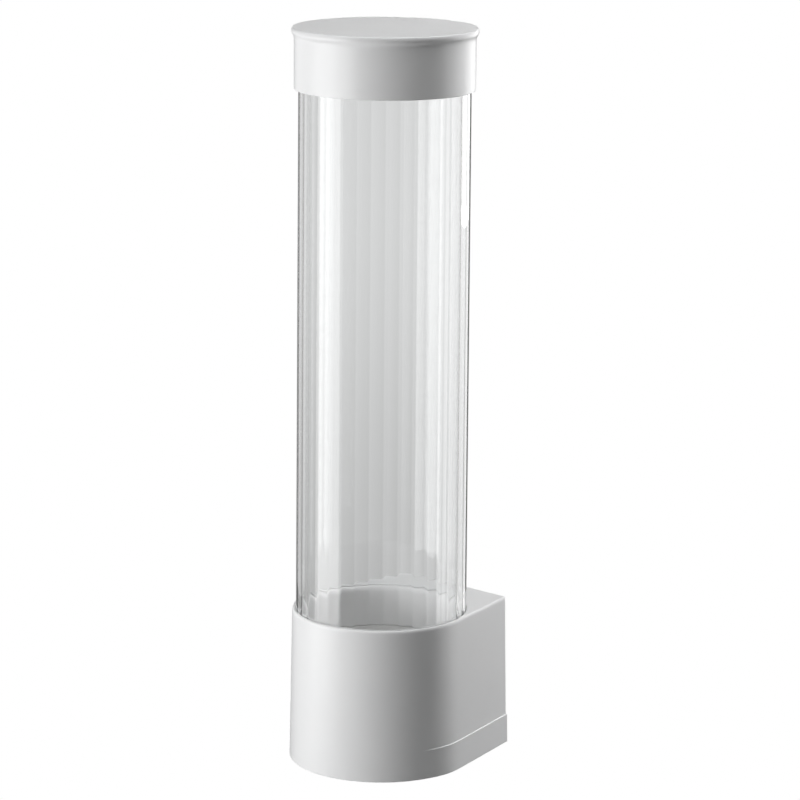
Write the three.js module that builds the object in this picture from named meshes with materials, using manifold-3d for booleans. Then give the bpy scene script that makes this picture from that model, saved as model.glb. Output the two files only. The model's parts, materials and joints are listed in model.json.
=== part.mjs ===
// Wall-mounted pull-type dispenser for a stack of paper cups.
//
// Units are millimetres and +Z is up. Every piece is drawn round the axis of the cup tube (X = Y = 0) with
// the underside of the housing at Z = 0, the front towards -Y and the wall towards +Y. The group is then
// shifted so that its origin is the middle of the foam pad's face on the wall.

import * as THREE from "three";
import { mergeVertices } from "three/addons/utils/BufferGeometryUtils.js";
import Module from "manifold-3d";

const wasm = await Module();
wasm.setup();

// Shared fits
const seatGap = 0.3;
const slipFit = 0.4;
const overrun = 5;
const mergeDistance = 1e-4;
const roundSteps = 72;
const cornerSteps = 4;

// Cup tube: smooth outside, flat flutes with rounded corners inside, a little wider at its foot
const tubeTopRadius = 44.25;
const tubeFootRadius = 45.05;
const tubeWall = 2.2;
const tubeLength = 322.75;
const fluteCount = 36;
const fluteCorner = 12.5;
const fluteCornerSteps = 2;

// Lid
const lidHeight = 31.7;
const lidTop = 2.2;
const lidWall = 1.8;
const lidFit = 0.55;
const lidRimReach = 1.35;
const lidRimRound = 2.9;
const lidRimCrown = THREE.MathUtils.degToRad(39);
const lidRimFall = THREE.MathUtils.degToRad(35);
const lidEdge = 0.4;
const lidRingDepth = 7;
const lidRingWall = 1.2;
const lidRingFit = 0.7;
const gripRibCount = 8;
const gripRibWidth = 1.4;
const gripRibHeight = 20;
const gripRibStand = 0.3;

// Housing
const housingHeight = 81.45;
const housingBack = 61.5;
const housingDraft = 1.3;
const sideTaper = THREE.MathUtils.degToRad(12);
const rimWall = 1.55;
const sideWall = 2;
const deckThickness = 2.4;
const deckEdge = 0.8;
const deckEdgeDepth = 2;
const cornerRadius = 1;
const bandHeight = 15.6;
const bandStep = 0.6;
const socketDepth = 19;
const socketWall = 1.8;
const seatThickness = 3;
const collarWall = 1.5;
const collarFit = 0.4;
const collarBevelDepth = 2.6;
const collarBevelReach = 1.1;
const stiffenerWidth = 1.4;
const stiffenerSpread = 24;
const stiffenerDepth = 34;

// Dovetail between the housing and the wall plate
const plateWidth = 36;
const plateFlare = 2;
const plateThickness = 3.6;
const plateLength = 50;
const plateFootHeight = 16;
const plateEdge = 1.2;
const plateHoleRadius = 2.2;
const plateSinkRadius = 4.2;
const plateHoleInset = 6.5;
const pocketWall = 2;
const pocketTop = 3;
const wallClearance = 0.4;
const padThickness = 1;
const padWidth = 30;
const padHeight = 22;
const padCorner = 3;

// Bottom cover
const coverHeight = 2;
const coverThickness = 2.4;
const outletRadius = 39;
const bossRadius = 3.6;
const bossSide = 28.5;
const bossBack = 50;
const ledgeReach = 1.1;
const ledgeThickness = 1.1;
const ledgeAngle = THREE.MathUtils.degToRad(20);
const ledgePitch = THREE.MathUtils.degToRad(24);

// Cup guide
const guideWall = 1.5;
const guideMouthFit = 0.1;
const guideNarrowing = 0.9;
const guideFlangeThickness = 2;
const windowAngle = THREE.MathUtils.degToRad(34);

// Adjustable fingers
const fingerCount = 4;
const fingerWidth = 12;
const fingerTravel = 1;
const footDepth = 4;
const footHeight = 4.4;
const footWallGap = 1;
const riserDepth = 1.7;
const riserHeight = 11.4;
const bladeLength = 7.2;
const bladeThickness = 1.3;
const bladeBead = 0.8;
const bladeSlope = THREE.MathUtils.degToRad(8);
const bladeDrop = 0.5;
const bladeTipShare = 0.8;

// Screws
const shankRadius = 1.15;
const shankFit = 0.2;
const headRadius = 2.2;
const headHeight = 1.3;
const domeShare = 0.45;
const crossWidth = 0.7;
const crossDepth = 0.8;
const crossShare = 0.62;
const fingerScrewLength = 5.6;
const coverScrewLength = 10;
const screwSteps = 20;

// Levels and radii that follow from the sizes above
const seatZ = housingHeight - socketDepth;
const tubeFootZ = seatZ + seatGap;
const tubeTopZ = tubeFootZ + tubeLength;
const totalHeight = tubeTopZ + seatGap + lidTop;
const facetAngle = Math.PI / fluteCount;
const socketRadius = tubeFootRadius + slipFit;
const frontRadius = socketRadius + rimWall + housingDraft;
const collarRadius = tubeFootRadius - tubeWall - collarFit;
const boreRadius = collarRadius - collarWall;
const ceilingZ = housingHeight - deckThickness;
const seatFloorZ = seatZ - seatThickness;
const plateBack = housingBack + bandStep + wallClearance - padThickness;
const plateFront = plateBack - plateThickness;
const plateTopZ = plateFootHeight + plateLength;
const padMiddleZ = plateFootHeight + plateLength / 2;
const wallPlane = plateBack + padThickness;
const coverTopZ = coverHeight + coverThickness;
const floorZ = coverTopZ + seatGap;
const guideTopZ = seatFloorZ - seatGap;
const innerFrontRadius = frontRadius - sideWall;

// Places of one finger along its own radius
const footOuter = innerFrontRadius - footWallGap - fingerTravel;
const footInner = footOuter - footDepth;
const riserInner = footOuter - riserDepth;
const hingeRadius = riserInner - seatGap - bladeBead;
const hingeZ = floorZ + riserHeight - bladeBead - bladeDrop;
const fingerScrewRadius = (footOuter + footInner) / 2;
const fingerAngle = (index) => (Math.PI * (2 * index + 1)) / fingerCount;

const materials = {
  white: () => new THREE.MeshStandardMaterial({ color: 0xf1f1f0, roughness: 0.32, metalness: 0 }),
  clear: () =>
    new THREE.MeshStandardMaterial({
      color: 0xf4f7f8,
      roughness: 0.05,
      metalness: 0,
      transparent: true,
      opacity: 0.3,
    }),
  natural: () => new THREE.MeshStandardMaterial({ color: 0xe6e6e2, roughness: 0.4, metalness: 0 }),
  steel: () => new THREE.MeshStandardMaterial({ color: 0xb9bcc0, roughness: 0.3, metalness: 1 }),
  foam: () => new THREE.MeshStandardMaterial({ color: 0xdcdcd8, roughness: 0.9, metalness: 0 }),
};

// A closed geometry as a solid: shared vertices merged, triangles of no area at a pole left out.
function solid(geometry) {
  const bare = geometry.clone();
  bare.deleteAttribute("normal");
  bare.deleteAttribute("uv");
  const merged = mergeVertices(bare, mergeDistance);
  const corners = merged.index.array;
  const kept = [];
  for (let i = 0; i < corners.length; i += 3) {
    const [a, b, c] = corners.slice(i, i + 3);
    if (a !== b && b !== c && c !== a) kept.push(a, b, c);
  }
  const body = new wasm.Mesh({
    numProp: 3,
    vertProperties: new Float32Array(merged.attributes.position.array),
    triVerts: new Uint32Array(kept),
  });
  return new wasm.Manifold(body);
}

// A solid back as a geometry.
function surface(body) {
  const mesh = body.getMesh();
  const geometry = new THREE.BufferGeometry();
  geometry.setAttribute("position", new THREE.BufferAttribute(new Float32Array(mesh.vertProperties), 3));
  geometry.setIndex(new THREE.BufferAttribute(new Uint32Array(mesh.triVerts), 1));
  geometry.computeVertexNormals();
  return geometry;
}

const join = (...bodies) => bodies.reduce((sum, body) => sum.add(body));
const cut = (body, ...tools) => tools.reduce((rest, tool) => rest.subtract(tool), body);

function piece(name, body, material) {
  const mesh = new THREE.Mesh(surface(body), material());
  mesh.name = name;
  return mesh;
}

// A box given by its lowest and highest corner.
function block(low, high) {
  const size = high.map((value, axis) => value - low[axis]);
  const geometry = new THREE.BoxGeometry(...size);
  geometry.translate(...low.map((value, axis) => value + size[axis] / 2));
  return solid(geometry);
}

// A profile of [radius, height] pairs turned round Z. It runs up the outside and closes on itself.
function revolve(profile, steps = roundSteps) {
  const points = [...profile, profile[0]].map(([radius, height]) => new THREE.Vector2(radius, height));
  return solid(new THREE.LatheGeometry(points, steps).rotateX(Math.PI / 2));
}

const disc = (radius, low, high, steps = roundSteps) =>
  revolve(
    [
      [0, low],
      [radius, low],
      [radius, high],
      [0, high],
    ],
    steps,
  );

// A flat outline of [x, y] pairs raised from one height to another.
function prism(outline, low, high) {
  const shape = new THREE.Shape(outline.map(([x, y]) => new THREE.Vector2(x, y)));
  const geometry = new THREE.ExtrudeGeometry(shape, { depth: high - low, bevelEnabled: false });
  return solid(geometry.translate(0, 0, low));
}

// Outlines of equal counts, each at its own height, skinned from one to the next and capped at both ends.
function loft(levels) {
  const count = levels[0].outline.length;
  const places = levels.flatMap(({ outline, z }) => outline.flatMap(([x, y]) => [x, y, z]));
  const faces = [];
  for (let level = 0; level < levels.length - 1; level += 1) {
    for (let i = 0; i < count; i += 1) {
      const a = level * count + i;
      const b = level * count + ((i + 1) % count);
      faces.push(a, b, b + count, a, b + count, a + count);
    }
  }
  const cap = THREE.ShapeUtils.triangulateShape(
    levels[0].outline.map(([x, y]) => new THREE.Vector2(x, y)),
    [],
  );
  const last = (levels.length - 1) * count;
  for (const [a, b, c] of cap) {
    faces.push(a, c, b, last + a, last + b, last + c);
  }
  const geometry = new THREE.BufferGeometry();
  geometry.setAttribute("position", new THREE.Float32BufferAttribute(places, 3));
  geometry.setIndex(faces);
  return solid(geometry);
}

const turned = (body, angle) => body.rotate([0, 0, THREE.MathUtils.radToDeg(angle)]);

// Points round an arc, both ends included.
function arc(x, y, radius, start, end, steps) {
  return Array.from({ length: steps + 1 }, (_, i) => {
    const angle = start + ((end - start) * i) / steps;
    return [x + radius * Math.cos(angle), y + radius * Math.sin(angle)];
  });
}

// The housing's plan: a round front, two sides that leave it at the taper angle, and a flat back with
// rounded corners. centre moves the round front along Y.
function plan(radius, back, centre = 0, corner = cornerRadius) {
  const front = arc(0, centre, radius, -Math.PI - sideTaper, sideTaper, roundSteps);
  const cornerCentreY = back - corner;
  const reach = radius - corner - (cornerCentreY - centre) * Math.sin(sideTaper);
  const cornerCentreX = reach / Math.cos(sideTaper);
  const right = arc(cornerCentreX, cornerCentreY, corner, sideTaper, Math.PI / 2, cornerSteps);
  const left = arc(-cornerCentreX, cornerCentreY, corner, Math.PI / 2, Math.PI - sideTaper, cornerSteps);
  return [...front, ...right, ...left];
}

// The housing's plan at a height, drafted inwards as it rises, moved out by an offset.
function housingPlan(z, offset, centre = 0) {
  const draft = (housingDraft * z) / housingHeight;
  return plan(frontRadius + offset - draft, housingBack + offset - draft, centre);
}

function draftedBlock(low, high, offset, centre = 0) {
  return loft([
    { outline: housingPlan(low, offset, centre), z: low },
    { outline: housingPlan(high, offset, centre), z: high },
  ]);
}

// Dovetail slab along Z, wider at its front face, grown all round by a gap.
function dovetail(low, high, gap) {
  const flarePerDepth = plateFlare / plateThickness;
  const front = plateFront - gap;
  const back = plateBack + overrun;
  const half = (y) => plateWidth / 2 + gap + (plateBack - y) * flarePerDepth;
  return prism(
    [
      [-half(front), front],
      [half(front), front],
      [half(back), back],
      [-half(back), back],
    ],
    low,
    high,
  );
}

// Outside of the lid's rim, from the skirt up: a hollow that leaves the skirt's line, and a bead that swells
// to the rim's full reach and ends at the flat top.
function rimProfile(skirtOuter) {
  const hollow = lidRimReach / (1 - Math.cos(lidRimFall)) - lidRimRound;
  const beadZ = totalHeight - lidRimRound * Math.sin(lidRimCrown);
  const hollowZ = beadZ - (lidRimRound + hollow) * Math.sin(lidRimFall);
  return [
    ...arc(skirtOuter + hollow, hollowZ, hollow, Math.PI, Math.PI - lidRimFall, cornerSteps).slice(0, -1),
    ...arc(skirtOuter + lidRimReach - lidRimRound, beadZ, lidRimRound, -lidRimFall, lidRimCrown, cornerSteps),
  ];
}

function buildLid() {
  const skirtInner = tubeTopRadius + lidFit;
  const skirtOuter = skirtInner + lidWall;
  const skirtFootZ = totalHeight - lidHeight;
  const undersideZ = totalHeight - lidTop;
  const shell = revolve([
    [0, undersideZ],
    [skirtInner, undersideZ],
    [skirtInner, skirtFootZ],
    [skirtOuter - lidEdge, skirtFootZ],
    [skirtOuter, skirtFootZ + lidEdge],
    ...rimProfile(skirtOuter),
    [0, totalHeight],
  ]);
  const ringOuter = tubeTopRadius - tubeWall - lidRingFit;
  const ringFootZ = undersideZ - lidRingDepth;
  const ring = revolve([
    [ringOuter - lidRingWall, ringFootZ],
    [ringOuter - lidEdge, ringFootZ],
    [ringOuter, ringFootZ + lidEdge],
    [ringOuter, undersideZ + lidTop / 2],
    [ringOuter - lidRingWall, undersideZ + lidTop / 2],
  ]);
  const ribs = Array.from({ length: gripRibCount }, (_, i) => {
    const rib = block(
      [skirtInner - gripRibStand, -gripRibWidth / 2, undersideZ - gripRibHeight],
      [skirtInner + lidWall / 2, gripRibWidth / 2, undersideZ + lidTop / 2],
    );
    return turned(rib, (2 * Math.PI * i) / gripRibCount);
  });
  return piece("lid", join(shell, ring, ...ribs), materials.white);
}

// A ring of equal flats at a distance from the axis. An arc tangent to both joins each two neighbours.
function fluteOutline(distance) {
  const reach = (distance - fluteCorner) / Math.cos(facetAngle);
  return Array.from({ length: fluteCount }, (_, i) => {
    const bearing = facetAngle * (2 * i + 1);
    const [x, y] = [reach * Math.cos(bearing), reach * Math.sin(bearing)];
    return arc(x, y, fluteCorner, bearing - facetAngle, bearing + facetAngle, fluteCornerSteps);
  }).flat();
}

// The tube's outside is round. Its inside is a ring of flat flutes that run its whole length.
function buildTube() {
  const radiusAt = (z) => THREE.MathUtils.lerp(tubeFootRadius, tubeTopRadius, (z - tubeFootZ) / tubeLength);
  const outside = [tubeFootZ, tubeTopZ].map((z) => ({
    outline: arc(0, 0, radiusAt(z), 0, 2 * Math.PI, roundSteps).slice(1),
    z,
  }));
  const flutes = [tubeFootZ - overrun, tubeTopZ + overrun].map((z) => ({
    outline: fluteOutline(radiusAt(z) - tubeWall),
    z,
  }));
  return piece("cup_tube", cut(loft(outside), loft(flutes)), materials.clear);
}

// Socket round the tube's foot: outer wall, seat and the inner collar with its bevelled mouth.
function socket() {
  const joinZ = ceilingZ + deckThickness / 2;
  const ring = revolve([
    [boreRadius, seatFloorZ],
    [socketRadius + socketWall, seatFloorZ],
    [socketRadius + socketWall, joinZ],
    [socketRadius, joinZ],
    [socketRadius, seatZ],
    [collarRadius, seatZ],
    [collarRadius, housingHeight - seatGap],
    [boreRadius + collarBevelReach, housingHeight - seatGap],
    [boreRadius, housingHeight - seatGap - collarBevelDepth],
  ]);
  return ring.intersect(draftedBlock(0, housingHeight, -rimWall / 2));
}

// Upright ribs under the deck, from the socket to the back wall.
function stiffeners() {
  return [-1, 1].map((side) => {
    const middle = side * stiffenerSpread;
    return block(
      [middle - stiffenerWidth / 2, boreRadius, ceilingZ - stiffenerDepth],
      [middle + stiffenerWidth / 2, plateFront, ceilingZ + deckThickness / 2],
    );
  });
}

// Ledges inside the front wall that the cover's edge sits on.
function ledges() {
  const outer = frontRadius - sideWall / 2;
  const inner = innerFrontRadius - ledgeReach;
  const top = coverHeight - seatGap / 3;
  return [-1, 1].map((side) => {
    const middle = -Math.PI / 2 + side * ledgePitch;
    const start = middle - ledgeAngle / 2;
    const end = middle + ledgeAngle / 2;
    const outline = [
      ...arc(0, 0, outer, start, end, cornerSteps),
      ...arc(0, 0, inner, end, start, cornerSteps),
    ];
    return prism(outline, top - ledgeThickness, top);
  });
}

function screwBosses() {
  return [-1, 1].map((side) => {
    const boss = disc(bossRadius, floorZ, ceilingZ + deckThickness / 2, screwSteps);
    return boss.translate([side * bossSide, bossBack, 0]);
  });
}

// Levels of the edge between the housing's wall and its deck, a quarter of an upright ellipse.
function deckEdgeLevels() {
  return arc(0, 0, 1, 0, Math.PI / 2, cornerSteps).map(([inward, up]) => {
    const z = housingHeight - deckEdgeDepth * (1 - up);
    return { outline: housingPlan(z, -deckEdge * (1 - inward)), z };
  });
}

function buildHousing() {
  const body = loft([{ outline: housingPlan(0, 0), z: 0 }, ...deckEdgeLevels()]);
  const band = draftedBlock(0, bandHeight, bandStep, bandStep);
  const cavity = draftedBlock(-overrun, ceilingZ, -sideWall);
  const shell = cut(join(body, band), cavity);
  const opening = disc(socketRadius, seatFloorZ, housingHeight + overrun);
  const pocketHalf = plateWidth / 2 + plateFlare + seatGap + pocketWall;
  const pocketBlock = block(
    [-pocketHalf, plateFront - seatGap - pocketWall, 0],
    [pocketHalf, housingBack - sideWall / 2 - housingDraft, plateTopZ + pocketTop],
  );
  const pocket = dovetail(-overrun, plateTopZ + seatGap, seatGap);
  const inside = join(...stiffeners(), ...screwBosses()).subtract(
    disc(socketRadius + socketWall / 2, 0, ceilingZ),
  );
  const holes = [-1, 1].map((side) => {
    const hole = disc(shankRadius + shankFit, 0, coverHeight + coverScrewLength + seatGap, screwSteps);
    return hole.translate([side * bossSide, bossBack, 0]);
  });
  const whole = join(cut(shell, opening), socket(), inside, pocketBlock, ...ledges());
  return piece("housing", cut(whole, pocket, ...holes), materials.white);
}

// Sleeve under the socket. Four windows at its foot let the fingers reach the cups.
function buildCupGuide() {
  const mouth = boreRadius - guideMouthFit;
  const foot = mouth - guideNarrowing;
  const flange = innerFrontRadius - housingDraft - seatGap;
  const flangeFootZ = guideTopZ - guideFlangeThickness;
  const sleeve = revolve([
    [foot, floorZ],
    [foot + guideWall, floorZ],
    [mouth + guideWall, flangeFootZ],
    [flange, flangeFootZ],
    [flange, guideTopZ],
    [mouth, guideTopZ],
  ]);
  const windowTopZ = floorZ + riserHeight + bladeLength / 2;
  const reach = flange + overrun;
  const windows = Array.from({ length: fingerCount }, (_, i) => {
    const middle = fingerAngle(i);
    const start = middle - windowAngle / 2;
    const end = middle + windowAngle / 2;
    return prism([[0, 0], ...arc(0, 0, reach, start, end, cornerSteps)], 0, windowTopZ);
  });
  return piece("cup_guide", cut(sleeve, ...windows), materials.natural);
}

// A round-ended slot along +X, from one height to another.
function slot(middle, radius, halfTravel, low, high) {
  const outline = [
    ...arc(middle + halfTravel, 0, radius, -Math.PI / 2, Math.PI / 2, cornerSteps * 2),
    ...arc(middle - halfTravel, 0, radius, Math.PI / 2, (3 * Math.PI) / 2, cornerSteps * 2),
  ];
  return prism(outline, low, high);
}

function buildBottomCover() {
  const plate = loft(
    [coverHeight, coverTopZ].map((z) => ({ outline: housingPlan(z, -sideWall - seatGap), z })),
  );
  const outlet = disc(outletRadius, -overrun, coverTopZ + overrun);
  const pocketHalf = plateWidth / 2 + plateFlare + pocketWall + 2 * seatGap;
  const notch = block(
    [-pocketHalf, plateFront - pocketWall - 2 * seatGap, -overrun],
    [pocketHalf, wallPlane, coverTopZ + overrun],
  );
  const slots = Array.from({ length: fingerCount }, (_, i) =>
    turned(
      slot(fingerScrewRadius, shankRadius + shankFit, fingerTravel, -overrun, coverTopZ + overrun),
      fingerAngle(i),
    ),
  );
  const holes = [-1, 1].map((side) => {
    const hole = disc(shankRadius + shankFit, -overrun, coverTopZ + overrun, screwSteps);
    return hole.translate([side * bossSide, bossBack, 0]);
  });
  return piece("bottom_cover", cut(plate, outlet, notch, ...slots, ...holes), materials.white);
}

// Foot and riser of one finger, drawn along +X as a side view and raised across the finger's width.
function fingerFoot() {
  const footTop = floorZ + footHeight;
  const riserTop = floorZ + riserHeight;
  const fillet = (footDepth - riserDepth) / 2;
  const side = [
    [footInner, floorZ],
    [footOuter, floorZ],
    ...arc(footOuter - riserDepth / 2, riserTop - riserDepth / 2, riserDepth / 2, 0, Math.PI, cornerSteps * 2),
    ...arc(riserInner - fillet, footTop + fillet, fillet, 0, -Math.PI / 2, cornerSteps),
    [footInner, footTop],
  ];
  const body = prism(side, -fingerWidth / 2, fingerWidth / 2).rotate([90, 0, 0]);
  const hole = disc(shankRadius + shankFit, 0, coverHeight + fingerScrewLength + seatGap, screwSteps);
  return body.subtract(hole.translate([fingerScrewRadius, 0, 0]));
}

// Springy tongue of one finger: a tapering blade with a hollowed tip, and a round bead at its root.
function fingerBlade() {
  const rootHalf = fingerWidth / 2;
  const tipHalf = rootHalf * bladeTipShare;
  const tipRadius = hingeRadius - bladeLength;
  const tipAngle = Math.asin(tipHalf / (tipRadius + bladeBead));
  const outline = [
    [hingeRadius, -rootHalf],
    [hingeRadius, rootHalf],
    [hingeRadius - bladeLength / 2, rootHalf],
    ...arc(0, 0, tipRadius, tipAngle, -tipAngle, cornerSteps * 2),
    [hingeRadius - bladeLength / 2, -rootHalf],
  ];
  const tongue = prism(outline, hingeZ - bladeThickness / 2, hingeZ + bladeThickness / 2);
  const bead = disc(bladeBead, -rootHalf, rootHalf, screwSteps).rotate([90, 0, 0]);
  const slope = THREE.MathUtils.radToDeg(bladeSlope);
  return tongue
    .translate([-hingeRadius, 0, -hingeZ])
    .rotate([0, -slope, 0])
    .add(bead)
    .translate([hingeRadius, 0, hingeZ]);
}

// A pan-head screw that points up from under the plate it holds, with a cross recess in its head.
function screw(length) {
  const headTop = coverHeight - seatGap / 3;
  const dome = headHeight * domeShare;
  const body = revolve(
    [
      [0, headTop - headHeight],
      [headRadius * crossShare, headTop - headHeight],
      [headRadius, headTop - headHeight + dome],
      [headRadius, headTop],
      [shankRadius, headTop],
      [shankRadius, headTop + length - shankRadius],
      [0, headTop + length],
    ],
    screwSteps,
  );
  const arm = headRadius * crossShare;
  const low = headTop - headHeight - overrun;
  const high = headTop - headHeight + crossDepth;
  const bars = [
    block([-arm, -crossWidth / 2, low], [arm, crossWidth / 2, high]),
    block([-crossWidth / 2, -arm, low], [crossWidth / 2, arm, high]),
  ];
  return cut(body, ...bars);
}

function buildFinger(index) {
  const angle = fingerAngle(index);
  const number = index + 1;
  const fastener = screw(fingerScrewLength).translate([fingerScrewRadius, 0, 0]);
  return [
    piece(`finger_foot_${number}`, turned(fingerFoot(), angle), materials.natural),
    piece(`finger_blade_${number}`, turned(fingerBlade(), angle), materials.natural),
    piece(`finger_screw_${number}`, turned(fastener, angle), materials.steel),
  ];
}

function buildCoverScrew(side, number) {
  const fastener = screw(coverScrewLength).translate([side * bossSide, bossBack, 0]);
  return piece(`cover_screw_${number}`, fastener, materials.steel);
}

// Dovetail plate with bevelled ends and two countersunk holes on its centre line.
function buildWallPlate() {
  const slab = dovetail(plateFootHeight, plateTopZ, 0);
  const behind = block(
    [-plateWidth, plateBack, plateFootHeight - overrun],
    [plateWidth, plateBack + 2 * overrun, plateTopZ + overrun],
  );
  const bevel = (z, side) => {
    const wide = plateWidth / 2 + plateFlare + overrun;
    const low = new THREE.BoxGeometry(2 * wide, plateEdge * Math.SQRT2, plateEdge * Math.SQRT2);
    low.rotateX((side * Math.PI) / 4).translate(0, plateFront, z);
    return solid(low);
  };
  const holes = [plateFootHeight + plateHoleInset, plateTopZ - plateHoleInset].map((z) => {
    const sinkDepth = plateSinkRadius - plateHoleRadius;
    const tool = revolve(
      [
        [0, -plateThickness - overrun],
        [plateHoleRadius, -plateThickness - overrun],
        [plateHoleRadius, -sinkDepth],
        [plateSinkRadius, 0],
        [plateSinkRadius, overrun],
        [0, overrun],
      ],
      screwSteps,
    );
    return tool.rotate([90, 0, 0]).translate([0, plateFront, z]);
  });
  const body = cut(slab, behind, bevel(plateFootHeight, 1), bevel(plateTopZ, -1), ...holes);
  return piece("wall_plate", body, materials.white);
}

function buildFoamPad() {
  const halfWidth = padWidth / 2 - padCorner;
  const halfHeight = padHeight / 2 - padCorner;
  const outline = [
    ...arc(halfWidth, halfHeight, padCorner, 0, Math.PI / 2, cornerSteps),
    ...arc(-halfWidth, halfHeight, padCorner, Math.PI / 2, Math.PI, cornerSteps),
    ...arc(-halfWidth, -halfHeight, padCorner, Math.PI, (3 * Math.PI) / 2, cornerSteps),
    ...arc(halfWidth, -halfHeight, padCorner, (3 * Math.PI) / 2, 2 * Math.PI, cornerSteps),
  ];
  const pad = prism(outline, 0, padThickness).rotate([90, 0, 0]);
  return piece("foam_pad", pad.translate([0, wallPlane, padMiddleZ]), materials.foam);
}

const dispenser = new THREE.Group();
dispenser.add(
  buildLid(),
  buildTube(),
  buildHousing(),
  buildCupGuide(),
  buildBottomCover(),
  buildCoverScrew(-1, 1),
  buildCoverScrew(1, 2),
  buildWallPlate(),
  buildFoamPad(),
);
for (let index = 0; index < fingerCount; index += 1) {
  dispenser.add(...buildFinger(index));
}
dispenser.position.set(0, -wallPlane, -padMiddleZ);

export default dispenser;
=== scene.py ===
"""Looks of a wall-hung dispenser for paper cups: white moulded base and lid, clear fluted tube.

Shapes are drawn in millimetres round the axis of the cup tube, with the underside of the housing at zero
height, the front towards -Y and the wall towards +Y. placed() takes them to metres in the part's frame.
"""

import json
import math

import bmesh
import bpy
import numpy as np
from mathutils import Matrix, Vector

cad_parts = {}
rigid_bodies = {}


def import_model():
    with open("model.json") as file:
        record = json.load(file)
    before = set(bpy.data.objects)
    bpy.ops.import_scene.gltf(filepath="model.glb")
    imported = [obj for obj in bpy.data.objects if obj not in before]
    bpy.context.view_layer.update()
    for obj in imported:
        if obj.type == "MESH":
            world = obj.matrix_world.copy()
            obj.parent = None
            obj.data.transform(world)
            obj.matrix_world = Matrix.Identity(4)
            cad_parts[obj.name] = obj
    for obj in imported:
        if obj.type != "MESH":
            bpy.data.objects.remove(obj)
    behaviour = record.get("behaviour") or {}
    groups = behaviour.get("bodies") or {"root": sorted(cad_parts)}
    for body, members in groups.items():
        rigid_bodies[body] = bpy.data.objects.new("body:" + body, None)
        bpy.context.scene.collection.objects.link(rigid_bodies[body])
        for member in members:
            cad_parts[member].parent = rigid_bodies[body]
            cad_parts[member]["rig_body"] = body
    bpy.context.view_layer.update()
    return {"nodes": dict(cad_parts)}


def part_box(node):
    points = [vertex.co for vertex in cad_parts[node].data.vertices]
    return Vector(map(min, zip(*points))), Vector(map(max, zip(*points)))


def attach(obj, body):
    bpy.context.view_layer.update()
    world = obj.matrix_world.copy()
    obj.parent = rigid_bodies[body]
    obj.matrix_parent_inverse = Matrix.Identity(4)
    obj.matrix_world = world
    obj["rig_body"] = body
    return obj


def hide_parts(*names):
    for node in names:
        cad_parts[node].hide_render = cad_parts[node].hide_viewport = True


# A millimetre in metres, a full turn, and the angle from which an edge is shaded sharp
MM = 0.001
TURN = 2 * math.pi
SHARP = math.radians(35)

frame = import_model()
scene = bpy.context.scene

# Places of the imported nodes, in millimetres round the tube's axis
LID_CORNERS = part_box("lid")
HOUSING_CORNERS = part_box("housing")
ORIGIN = np.array([0, (LID_CORNERS[0].y + LID_CORNERS[1].y) / 2, HOUSING_CORNERS[0].z])


def local_box(node):
    """Lowest and highest corner of a node, in millimetres round the tube's axis."""
    low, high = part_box(node)
    return (np.array(low) - ORIGIN) / MM, (np.array(high) - ORIGIN) / MM


def placed(points):
    """Millimetres round the tube's axis as metres in the part's frame."""
    return points * MM + ORIGIN


lid_low, lid_high = local_box("lid")
tube_low, tube_high = local_box("cup_tube")
housing_low, housing_high = local_box("housing")
guide_low, guide_high = local_box("cup_guide")
pad_low, pad_high = local_box("foam_pad")

# Rounded corners and edges, the gap between a piece and its seat, and a hair's breadth
SUPPORT = 0.3
SUPPORT_SHARE = 0.3
EDGE_STEPS = 5
SEAT_GAP = 0.3
HAIR = 0.01

# Tube: round outside, flat flutes inside, a little wider at its foot
TUBE_FOOT_RADIUS = tube_high[0]
TUBE_TOP_RADIUS = 44.25
TUBE_WALL = 2.2
TUBE_EDGE = 0.25
TUBE_EDGE_STEPS = 4
FLUTES = 36
FLUTE_TURN = math.radians(-1)
FLUTE_CORNER = 12.5
FLUTE_CORNER_STEPS = 6
FLUTE_SUPPORT = 0.25
FLAT_SHARES = (0.25, 0.5, 0.75)
TUBE_RINGS = 12

# Lid
RIM_RADIUS = lid_high[0]
RIM_REACH = 1.35
RIM_ROUND = 2.9
RIM_CROWN = math.radians(39)
RIM_FALL = math.radians(35)
RIM_TOP_EDGE = 0.6
RIM_BEAD_STEPS = 12
RIM_HOLLOW_STEPS = 9
SKIRT_RADIUS = RIM_RADIUS - RIM_REACH
SKIRT_WALL = 1.8
SKIRT_EDGE = 0.4
LID_THICKNESS = 2.2
LID_INNER_EDGE = 0.3
RING_DEPTH = 7
RING_WALL = 1.2
RING_RADIUS = TUBE_TOP_RADIUS - TUBE_WALL - 0.7
GRIP_RIBS = 8
GRIP_RIB_WIDTH = 1.4
GRIP_RIB_HEIGHT = 20
GRIP_RIB_STAND = 0.3
GRIP_RIB_EDGE = 0.12

# Housing
TOP = housing_high[2]
BAND_STEP = 0.6
BAND_HEIGHT = 15.6
BAND_START = math.radians(68)
BAND_FULL = math.radians(94)
BACK = housing_high[1] - BAND_STEP
FRONT_RADIUS = -housing_low[1]
DRAFT = 1.3
TAPER = math.radians(12)
BACK_CORNER = 1
BOTTOM_EDGE = 0.45
DECK_EDGE = 0.8
DECK_EDGE_DEPTH = 2
DECK_EDGE_STEPS = 11
DECK_SUPPORT = 0.25
DECK_THICKNESS = 2.4
SIDE_WALL = 2
SOCKET_RADIUS = TUBE_FOOT_RADIUS + 0.2
SOCKET_WALL = 1.8
SOCKET_LIP = 0.6
SEAT_Z = tube_low[2] - SEAT_GAP
SEAT_THICKNESS = 3
SEAT_EDGE = 0.1
COLLAR_RADIUS = TUBE_FOOT_RADIUS - TUBE_WALL - 0.2
COLLAR_LIP_DEPTH = 3.2
COLLAR_LIP_REACH = 1.3
COLLAR_LIP_STEPS = 9
BORE_RADIUS = COLLAR_RADIUS - 1.7
BORE_EDGE = 0.2
BORE_FOOT_REACH = 2
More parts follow.
